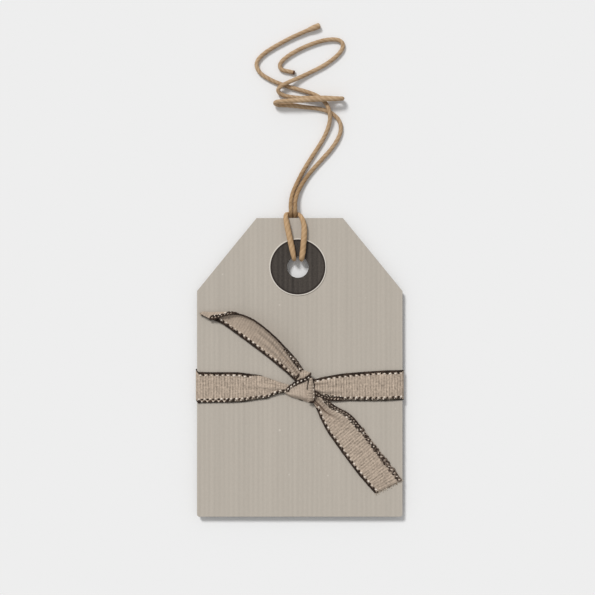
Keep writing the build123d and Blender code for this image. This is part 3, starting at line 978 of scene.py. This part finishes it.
# Rows of each kind of edge: yarn, then in millimetres its way in, pitch, start, length, width and height,
# then its slant in radians, its unevenness and, for open links, the share of the strand
edge_rows = {
    "line": [
        ("dark", 0.36, 0.62, 0.0, 0.48, 0.37, 0.20, 0.5, 0.22, 0),
        ("dark", 0.88, full_pitch, half_pitch, 0.43, 0.33, 0.20, -0.4, 0.25, 0),
        ("pale", 1.06, full_pitch, 0.0, 0.38, 0.31, 0.26, 0.2, 0.25, 0)],
    "band": [
        ("mixed", 0.38, 0.59, 0.0, 0.44, 0.39, 0.22, 0.5, 0.28, 0),
        ("dark", 1.02, full_pitch, half_pitch, 0.54, 0.34, 0.24, 0.6, 0.22, 0),
        ("pale", 1.14, full_pitch, 0.0, 0.38, 0.30, 0.27, 0.4, 0.25, 0),
        ("pale", 0.58, full_pitch, 0.3, 0.26, 0.16, 0.27, 0.6, 0.35, 0)],
    "checker": [
        ("dark", 0.40, full_pitch, 0.0, 0.60, 0.46, 0.26, 0.2, 0.12, 0),
        ("pale", 0.36, full_pitch, half_pitch, 0.25, 0.27, 0.22, 0.0, 0.2, 0),
        ("dark", 1.08, full_pitch, half_pitch, 0.46, 0.30, 0.24, 0.0, 0.15, 0),
        ("pale", 1.16, full_pitch, 0.0, 0.40, 0.30, 0.26, 0.0, 0.2, 0)],
    "chain": [
        ("dark", 0.24, 0.62, 0.0, 0.42, 0.24, 0.20, 0.0, 0.25, 0),
        ("dark", 0.76, 1.05, 0.0, 0.78, 0.52, 0.42, 0.75, 0.22, 0.36),
        ("mixed", 1.32, 1.05, 0.5, 0.56, 0.36, 0.36, -0.55, 0.28, 0.34),
        ("pale", 1.64, full_pitch, 0.3, 0.34, 0.26, 0.26, 0.2, 0.3, 0)],
    "knot": [
        ("dark", 0.24, 0.625, 0.0, 0.44, 0.27, 0.26, 0.5, 0.35, 0),
        ("dark", 1.18, 0.625, 0.3, 0.42, 0.24, 0.26, 0.6, 0.4, 0),
        ("dark", 0.70, 1.25, 0.95, 0.50, 0.24, 0.28, 1.0, 0.3, 0),
        ("pale", 0.72, 1.25, 0.35, 0.34, 0.30, 0.34, 0.3, 0.3, 0)],
    "link": [
        ("brown", 0.70, 1.33, 0.0, 0.80, 0.56, 0.36, 0.9, 0.34, 0.32),
        ("dark", 0.80, full_pitch, half_pitch, 0.46, 0.26, 0.40, -0.7, 0.4, 0),
        ("dark", 0.30, 1.25, 0.6, 0.36, 0.20, 0.30, 0.6, 0.4, 0),
        ("dark", 1.22, 1.55, 0.35, 0.40, 0.20, 0.30, 0.8, 0.4, 0),
        ("pale", 0.74, 1.33, 0.0, 0.26, 0.20, 0.36, 0.9, 0.4, 0)],
    "tip": [
        ("dark", 0.50, 1.05, 0.0, 0.74, 0.46, 0.40, 0.7, 0.22, 0.44),
        ("pale", 1.12, full_pitch, 0.4, 0.34, 0.28, 0.26, 0.2, 0.3, 0)],
    "stroke": [
        ("dark", 0.22, 0.40, 0.0, 0.40, 0.42, 0.30, 0.0, 0.25, 0)],
    "rim": [
        ("dark", 0.20, 0.62, 0.0, 0.48, 0.26, 0.20, 0.4, 0.25, 0)],
    "seam": [
        ("dark", 0.14, 0.40, 0.0, 0.40, 0.25, 0.22, 0.0, 0.3, 0)],
    # Dark beads along folded edges: a stitch at the knot's lower edge, and painted shade in the side turn's
    # crease
    "fold": [
        ("mixed", 0.08, 0.40, 0.0, 0.38, 0.29, 0.18, 0.0, 0.12, 0)],
    "bare": [
        ("dark", 0.36, 0.62, 0.0, 0.46, 0.34, 0.18, 0.5, 0.22, 0)],
    "reverse": [
        ("dark", 0.36, 0.62, 0.0, 0.46, 0.36, 0.13, 0.5, 0.2, 0),
        ("pale", 1.10, full_pitch, 0.0, 0.36, 0.28, 0.13, 0.2, 0.2, 0)],
    "dots": [
        ("pale", 0.78, 1.15, 0.3, 0.26, 0.30, 0.20, 0.0, 0.2, 0)],
}


def joined(name, pieces):
    """One mesh from several, where each keeps its own finish."""
    together = bmesh.new()
    finishes = []
    for piece in pieces:
        start = len(together.faces)
        together.from_mesh(piece.data)
        together.faces.ensure_lookup_table()
        for face in together.faces[start:]:
            finish = piece.data.materials[face.material_index]
            if finish not in finishes:
                finishes.append(finish)
            face.material_index = finishes.index(finish)
        bpy.data.objects.remove(piece)
    mesh = bpy.data.meshes.new(name)
    whole_piece = add_piece(name, mesh, finishes[0])
    for finish in finishes[1:]:
        mesh.materials.append(finish)
    together.to_mesh(mesh)
    together.free()
    return whole_piece


def edging(prefix, edges, seed, threads=()):
    """The stitched finish of some woven edges, with any loose threads, as one mesh."""
    stretches = [(kind, (rows, high_side, shown, first, last))
                 for rows, high_side, shown, kinds in edges for first, last, kind in kinds]
    made = []
    for kind in sorted({kind for kind, stretch in stretches}):
        for order, row in enumerate(edge_rows[kind]):
            yarn, inset, pitch, start, length, width, height, slant, uneven, strand = row
            lines = [edge_line(rows, high_side, inset * mm, shown, first, last)
                     for other, (rows, high_side, shown, first, last) in stretches if other == kind]
            made.append(grown(f"{prefix}_{kind}_{order}", lines, stitch_row, {
                "Pitch": pitch * mm, "Start": start * mm, "Length": length * mm, "Width": width * mm,
                "Height": height * mm, "Slant": slant, "Unevenness": uneven, "Seed": seed + len(made),
                "Open": strand > 0, "Strand": float(strand), "Finish": edge_yarns[yarn]}))
    return joined(prefix, made + list(threads))


def cut_end(name, rows, seed, **sizes):
    """Loose threads along the last row of a tail."""
    line = [(here, (here - before).normalized()) for here, before in zip(rows[-1], rows[-2])]
    return grown(name, [line], cut_fringe, {"Seed": seed, "Finish": thread_pale, **sizes})


# Edges of the cloths: rows, whether it is the high edge, the side that shows as 1 or -1, and the kinds of
# edge, each from one row to another or to the end
left_stop = len(blended(left_run)) + 1
wrap_end = len(wrap)
right_start = wrap_end - len(blended(right_run)) - 1
behind_span = (left_stop - 1 + turn_steps, right_start + 1 - turn_steps)
side_columns = [list(column) for column in zip(*side_rows)]
band_stitches = edging("band_edge", [
    (wrap, False, 1, [
        (0, 38, "band"), (37, left_stop, "checker"), (*behind_span, "band"),
        (right_start, wrap_end - 21, "band"), (wrap_end - 22, wrap_end, "chain")]),
    (wrap, True, 1, [
        (28, left_stop, "line"), (22, 29, "bare"), (*behind_span, "line"),
        (right_start, wrap_end, "line")]),
    (knot_rows, True, -1, [(0, None, "knot")]),
    (knot_rows, False, -1, [(18, 22, "fold")]),
    (lip_rows, True, -1, [(0, 6, "stroke")]),
    (side_columns, True, 1, [(14, 27, "stroke")]),
    # Painted shade: dark beads along the side turn's left folded edge stand for the shadow in its crease
    (side_rows, False, -1, [(3, 13, "fold")]),
    (side_rows, True, -1, [(3, None, "seam"), (9, 23, "dots")])], seed=11)
upper_stitches = edging("upper_edge", [
    (upper_rows, False, 1, [(4, None, "line")]),
    (upper_rows, True, 1, [(4, 17, "link"), (16, 40, "rim")]),
    (upper_rows, True, -1, [(36, 48, "tip")]),
    (upper_rows, False, -1, [(4, None, "reverse")]),
    (upper_rows, True, -1, [(4, 37, "reverse")])],
    seed=31, threads=[cut_end("upper_cut_end", upper_rows, seed=5, Longest=0.8 * mm)])
lower_stitches = edging("lower_edge", [
    (lower_rows, False, -1, [(9, None, "line")]),
    (lower_rows, True, -1, [(8, 30, "chain"), (29, None, "link")]),
    (lower_rows, False, 1, [(9, None, "reverse")]),
    (lower_rows, True, 1, [(9, None, "reverse")])],
    seed=51, threads=[cut_end("lower_cut_end", lower_rows, seed=9)])


# Twine

def spline_points(route):
    """Points along the smooth line that has the route's points as its control points."""
    curve = bpy.data.curves.new("twine_line", "CURVE")
    curve.dimensions = "3D"
    curve.resolution_u = 14
    line = add_line(curve, "NURBS", route)
    line.order_u = 3
    line.use_endpoint_u = True
    return [vertex.co.copy() for vertex in curve_mesh(curve).vertices]


# A rounded end: how far past the twine's last point, in millimetres, and the share of its thickness there
rounded_end = [(0.2, 0.97), (0.4, 0.86), (0.54, 0.66), (0.63, 0.38)]


def twine_stations(path, swells, end):
    """Place, direction, length so far and thickness at each step along a twine."""
    last = len(path) - 1
    stations = []
    for i, (place, along) in enumerate(zip(path, lengths_along(path))):
        forward = (path[min(i + 1, last)] - path[max(i - 1, 0)]).normalized()
        swell = 1.0
        for start, full, hold_to, stop, share in swells:
            growing = eased((along / mm - start) / (full - start))
            swell += share * min(growing, eased((stop - along / mm) / (stop - hold_to)))
        stations.append((place, forward, along, swell))
    if end == "rounded":
        for reach, share in rounded_end:
            stations.append((place + forward * reach * mm, forward, along + reach * mm, share * swell))
    return stations


def twine(name, path, material, radius, swells, end, seed):
    """A twisted cord along a path, thicker where it swells, with a plain, a rounded or a dark cut end; the
    cut end's darkness is painted shade.
    """
    stations = twine_stations(path, swells, end)
    length = lengths_along(path)[-1]
    side = stations[0][1].orthogonal().normalized()
    points, turns = [], []
    for place, forward, along, swell in stations:
        side = (side - forward * side.dot(forward)).normalized()
        other = forward.cross(side)
        twist = 2 * pi * along / ply_length
        for k in range(twine_sides):
            angle = 2 * pi * k / twine_sides
            lobe = 1 + ply_depth * cos(plies * (angle - twist))
            spot = Vector((along / uneven_length, cos(angle) + seed, sin(angle)))
            rough = 1 + uneven_depth * noise.noise(spot)
            points.append(place + (side * cos(angle) + other * sin(angle)) * (radius * lobe * rough * swell))
            turns.append((along / (2 * radius), (angle - twist) / (2 * pi)))
    points += [path[0], stations[-1][0] + stations[-1][1] * end_crown]
    turns += [(0, 0), (length / (2 * radius), 0)]
    first_middle, last_middle = len(points) - 2, len(points) - 1
    last_ring = (len(stations) - 1) * twine_sides
    sides = [(k, (k + 1) % twine_sides) for k in range(twine_sides)]
    faces = []
    for ring in range(0, last_ring, twine_sides):
        faces += [(ring + k, ring + after, ring + twine_sides + after, ring + twine_sides + k)
                  for k, after in sides]
    for k, after in sides:
        faces += [(after, k, first_middle), (last_ring + k, last_ring + after, last_middle)]
    mesh = smooth_mesh(name, points, faces)
    layer = mesh.uv_layers.new(name="cord")
    for polygon in mesh.polygons:
        loops = list(polygon.loop_indices)
        first = turns[mesh.loops[loops[0]].vertex_index][1]
        for index in loops:
            u, v = turns[mesh.loops[index].vertex_index]
            layer.data[index].uv = (u, v + round(first - v))
    piece = add_piece(name, mesh, material)
    # Painted shade: the cut end's face and its last stretch take the dark cut finish
    if end == "cut":
        mesh.materials.append(cut_fibre)
        shaded_from = (length - cut_shade_reach) / (2 * radius)
        for polygon in mesh.polygons:
            polygon.material_index = int(min(turns[vertex][0] for vertex in polygon.vertices) > shaded_from)
    return piece


def past_edge(route):
    """Points given as X, distance past the card's top edge and height, in millimetres."""
    return [Vector((x * mm, top_edge_y + y * mm, z * mm)) for x, y, z in route]


left_tail_route = past_edge([
    (-2.84, 4.517, 2.545),
    (-2.76, 6.64, 1.45), (-1.14, 10.75, 0.70), (1.66, 16.13, 0.67), (5.30, 21.67, 0.67),
    (8.14, 26.25, 0.67), (9.63, 30.52, 1.30), (9.57, 33.05, 2.25), (9.03, 35.01, 2.20),
    (7.99, 36.85, 0.80), (5.93, 38.81, 0.67), (1.66, 40.36, 0.67), (-3.40, 41.63, 0.67),
    (-8.94, 43.65, 0.67), (-12.89, 46.09, 0.67), (-14.09, 49.19, 0.67), (-11.78, 52.13, 0.67),
    (-6.56, 55.35, 0.67), (-0.24, 58.52, 0.78), (5.90, 60.95, 1.02),
])
right_tail_route = past_edge([
    (-1.46, 4.517, 2.545),
    (-1.34, 6.48, 1.75), (0.12, 9.96, 0.95), (3.08, 14.39, 0.67), (7.35, 18.98, 0.67),
    (10.99, 23.09, 0.67), (13.20, 27.36, 0.67), (12.83, 30.90, 0.67), (10.20, 33.53, 0.67),
    (6.25, 34.82, 0.67), (1.34, 35.30, 0.67), (-3.08, 35.96, 0.67), (-6.09, 35.93, 0.67),
    (-7.00, 36.10, 0.67), (-7.77, 36.29, 1.43), (-7.77, 36.56, 2.51), (-7.00, 36.74, 3.27),
    (-5.20, 36.86, 3.28), (-2.40, 37.02, 3.30),
    (1.98, 37.23, 3.35), (6.20, 37.40, 3.48), (9.40, 37.52, 3.50), (11.50, 37.61, 3.44),
    (12.76, 37.67, 3.38), (13.52, 37.75, 2.64), (13.52, 37.85, 1.58), (12.76, 37.93, 0.84),
    (11.50, 38.00, 0.88), (9.60, 38.06, 1.95), (7.40, 38.09, 2.35), (5.00, 38.11, 2.15),
    (1.98, 38.14, 1.10), (-0.87, 38.21, 0.68), (-3.56, 38.59, 0.68), (-5.35, 39.02, 0.85),
    (-6.60, 39.72, 1.25), (-6.95, 40.75, 1.85), (-6.05, 41.70, 2.20), (-4.40, 42.58, 2.30),
    (-2.50, 43.46, 1.95), (-0.40, 44.45, 1.15), (3.24, 46.21, 0.67),
    (7.67, 48.39, 0.67), (11.53, 51.15, 0.67), (14.06, 54.18, 0.67), (13.11, 56.65, 0.67),
    (8.94, 56.84, 0.67), (3.87, 55.42, 0.67), (-0.87, 53.30, 0.67), (-4.67, 50.93, 0.67),
    (-6.50, 48.78, 0.67), (-5.93, 47.04, 0.67), (-3.72, 46.66, 0.67), (-1.60, 46.18, 0.67),
])
hitch_route = past_edge([
    (-2.84, 4.60, 2.54), (-2.84, 3.40, 2.64), (-2.84, 2.10, 2.74), (-2.84, 1.20, 1.90), (-2.84, 0.20, 0.75),
    (-2.76, -1.00, 0.65), (-2.00, -10.50, 0.65), (-1.80, -12.40, 0.66), (-1.80, -13.05, 1.10),
    (-1.80, -13.07, 3.10), (-1.88, -12.45, 3.62), (-2.10, -11.20, 3.68), (-3.35, -5.50, 3.62),
    (-4.15, -1.70, 3.48), (-4.45, 0.15, 3.30), (-4.30, 1.10, 2.40), (-3.95, 1.28, 1.00), (-3.10, 1.32, 0.66),
    (-2.15, 1.32, 0.65), (-1.10, 1.32, 0.66), (-0.42, 1.20, 1.10), (0.28, 0.70, 2.50), (0.95, -0.55, 3.40),
    (1.45, -2.90, 3.52), (1.40, -5.50, 3.62),
    (0.90, -11.20, 3.68), (0.66, -12.45, 3.62), (0.60, -13.07, 3.10), (0.60, -13.05, 1.10),
    (0.50, -12.40, 0.66), (0.20, -10.50, 0.65), (-1.36, -1.00, 0.65), (-1.46, 0.20, 0.75),
    (-1.46, 1.20, 1.90), (-1.46, 2.10, 2.74), (-1.46, 3.40, 2.64), (-1.46, 4.60, 2.54),
])

# Where a twine swells, in millimetres along it: start, full, hold, end, and share of its radius
arm_swells = [(20, 24, 30, 37, 0.38), (41, 48, 54, 58, 0.38)]
end_swells = [(81.5, 84.8, 99, 100, 0.42)]
fold_swells = [(40, 48, 51.6, 54.2, 0.14), (56.2, 60.2, 73.6, 76.4, 0.18)]

hitch_path = spline_points(hitch_route)
left_path = spline_points(left_tail_route)
right_path = spline_points(right_tail_route)
hitch_twine = twine("hitch_twine", hitch_path, twine_hitch_fibre, hitch_radius, arm_swells, "plain", seed=3)
left_twine = twine("left_twine", left_path, twine_tail_fibre, twine_radius, end_swells, "rounded", seed=11)
right_twine = twine("right_twine", right_path, twine_tail_fibre, twine_radius, fold_swells, "cut", seed=23)


# What each piece stands for and moves with

def settle(piece, body, slot, *nodes):
    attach(piece, body)
    if nodes:
        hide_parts(*nodes)


settle(card, "tag", "card_stock", "tag_card")
settle(front_ring, "tag", "patch_paper", "front_patch")
settle(back_ring, "tag", "patch_paper", "back_patch")
settle(hitch_twine, "tag", "twine", "twine_hitch")
settle(ribbon_band, "ribbon", "ribbon_weave", "ribbon_back_band", "ribbon_left_run", "ribbon_right_run")
settle(knot_cloth, "ribbon", "ribbon_weave", "ribbon_knot")
settle(lip_cloth, "ribbon", "ribbon_weave", "knot_lip")
settle(side_cloth, "ribbon", "ribbon_weave")
settle(band_stitches, "ribbon", "ribbon_weave")


def bend(pieces, first, second, start, end, slot):
    for piece in pieces:
        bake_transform(piece)
        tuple(start)
        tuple(end)


# Each tail's cloth and stitches, and both twine tails, are baked into place; the places a little before and a
# little past each tail's root, and about the twine's swing line, are given but not used
fold_before, fold_past = 1 * mm, 5 * mm
upper_fold, lower_fold = heading(137), heading(-42)
bend([upper_cloth, upper_stitches], "ribbon", "upper_tail",
     upper_root - upper_fold * fold_before, upper_root + upper_fold * fold_past, "ribbon_weave")
bend([lower_cloth, lower_stitches], "ribbon", "lower_tail",
     lower_root - lower_fold * fold_before, lower_root + lower_fold * fold_past, "ribbon_weave")
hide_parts("ribbon_upper_tail")
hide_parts("ribbon_lower_tail")
swing_line = past_edge([(-2.15, 4.517, 2.545)])[0]
swing_before, swing_past = Vector((0, 0.5 * mm, 0)), Vector((0, 5 * mm, 0))
bend([left_twine, right_twine], "tag", "twine_tails",
     swing_line - swing_before, swing_line + swing_past, "twine")
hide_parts("twine_left_tail")
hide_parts("twine_right_tail")

# Floor, light and camera

floor_reach, floor_level = 2, -0.1 * mm
floor_mesh = bpy.data.meshes.new("floor")
floor_mesh.from_pydata([(x * floor_reach, y * floor_reach, floor_level)
                        for x, y in ((-1, -1), (1, -1), (1, 1), (-1, 1))], [], [(0, 1, 2, 3)])
floor_paint, _, floor_shader = finish_of("floor_paint", roughness=0.95, specular=0.0)
floor_shader.inputs["Base Color"].default_value = srgb(238, 238, 238)
add_piece("floor", floor_mesh, floor_paint)

light_direction = Vector((0.95, -1.62, -2.15))
sun = bpy.data.lights.new("window_light", "SUN")
sun.energy = 2.17
sun.angle = radians(15)
hold("window_light", sun).rotation_euler = light_direction.to_track_quat("-Z", "Y").to_euler()

world = bpy.data.worlds.new("studio")
world.use_nodes = True
sky = world.node_tree.nodes["Background"].inputs
sky["Color"].default_value = (1, 1, 1, 1)
sky["Strength"].default_value = 0.48
scene.world = world
scene.view_settings.view_transform = "Standard"

# The picture is taken from straight above, and this wide at the card's face
picture_width = 188.2 * mm
picture_x, picture_y = -0.71 * mm, top_edge_y - 25.15 * mm
lens = bpy.data.cameras.new("camera")
lens.lens = 100
lens.sensor_width = 36
camera = hold("camera", lens)
camera.location = (picture_x, picture_y, card_top + picture_width * lens.lens / lens.sensor_width)
scene.camera = camera
